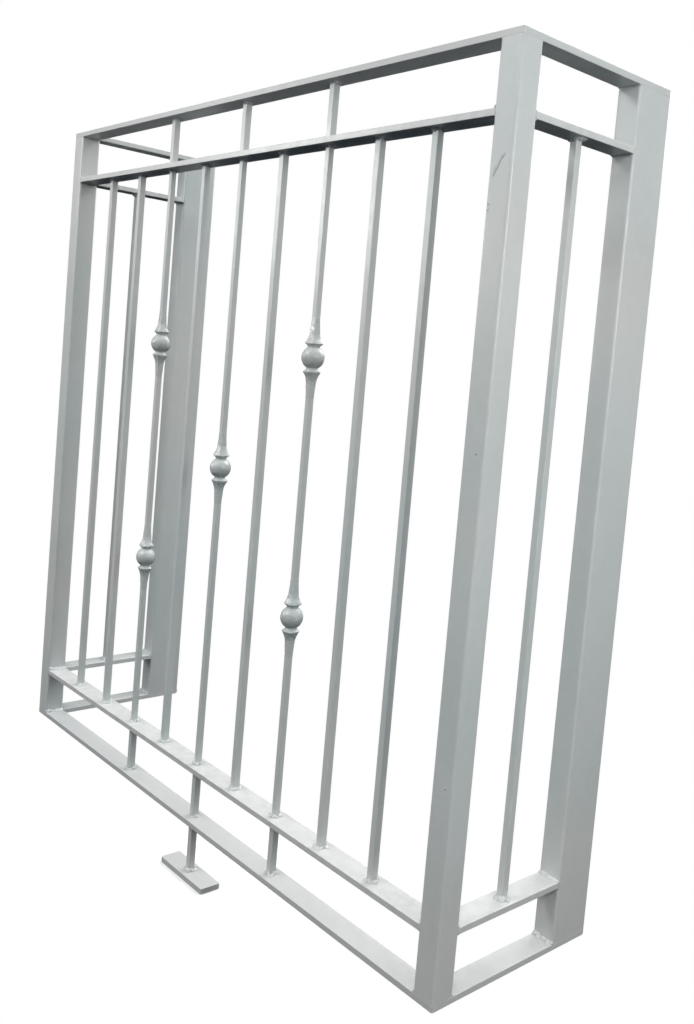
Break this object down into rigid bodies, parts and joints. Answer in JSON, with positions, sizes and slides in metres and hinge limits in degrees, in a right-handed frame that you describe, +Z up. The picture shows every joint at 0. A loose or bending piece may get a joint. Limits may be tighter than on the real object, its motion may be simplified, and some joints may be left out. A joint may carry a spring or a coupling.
{
  "type": "window security bar",
  "caption": "Welded steel box guard for a window: tube posts, flat-bar rails, upright square bars with forged knuckles, and a foot under the front.",
  "frame": {"origin": "middle of the bounding box's bottom: level with the underside of the foot plate, halfway across the width and halfway from the front face to the wall", "axes": "+X to the right seen from the street, +Y from the front face towards the wall, +Z up"},
  "size_m": [1.33, 0.34, 1.434],
  "materials": {
    "tube_paint": "semi-gloss light grey paint over steel tube",
    "flat_bar_paint": "semi-gloss light grey paint over rolled flat bar",
    "bar_paint": "semi-gloss light grey paint over rolled square bar",
    "forged_paint": "semi-gloss light grey paint over forged steel",
    "weld_paint": "light grey paint over lumpy weld beads"
  },
  "bodies": {
    "root": {"foot_plate": "flat_bar_paint", "foot_stem": "bar_paint", "front_bar_1": "bar_paint", "front_bar_2": "bar_paint", "front_bar_3_lower": "bar_paint", "front_bar_3_middle": "bar_paint", "front_bar_3_upper": "bar_paint", "front_bar_4": "bar_paint", "front_bar_5_lower": "bar_paint", "front_bar_5_upper": "bar_paint", "front_bar_6": "bar_paint", "front_bar_7_lower": "bar_paint", "front_bar_7_middle": "bar_paint", "front_bar_7_upper": "bar_paint", "front_bar_8": "bar_paint", "front_bar_9": "bar_paint", "knuckle_3_lower": "forged_paint", "knuckle_3_upper": "forged_paint", "knuckle_5": "forged_paint", "knuckle_7_lower": "forged_paint", "knuckle_7_upper": "forged_paint", "post_front_left": "tube_paint", "post_front_right": "tube_paint", "post_wall_left": "tube_paint", "post_wall_right": "tube_paint", "rail_bottom_front": "flat_bar_paint", "rail_bottom_left": "flat_bar_paint", "rail_bottom_right": "flat_bar_paint", "rail_lower_front": "flat_bar_paint", "rail_lower_left": "flat_bar_paint", "rail_lower_right": "flat_bar_paint", "rail_top_front": "flat_bar_paint", "rail_top_left": "flat_bar_paint", "rail_top_right": "flat_bar_paint", "rail_upper_front": "flat_bar_paint", "rail_upper_left": "flat_bar_paint", "rail_upper_right": "flat_bar_paint", "short_bar_lower_3": "bar_paint", "short_bar_lower_5": "bar_paint", "short_bar_lower_7": "bar_paint", "short_bar_upper_3": "bar_paint", "short_bar_upper_5": "bar_paint", "short_bar_upper_7": "bar_paint", "side_bar_left": "bar_paint", "side_bar_right": "bar_paint", "welds_foot_stem": "weld_paint", "welds_front_bar_feet": "weld_paint", "welds_front_bar_heads": "weld_paint", "welds_knuckles": "weld_paint", "welds_post_front_left_face": "weld_paint", "welds_post_front_left_side": "weld_paint", "welds_post_front_right_face": "weld_paint", "welds_post_front_right_side": "weld_paint", "welds_post_wall_left": "weld_paint", "welds_post_wall_right": "weld_paint", "welds_short_bars_lower": "weld_paint", "welds_short_bars_upper": "weld_paint", "welds_side_bars": "weld_paint"}
  },
  "joints": []
}
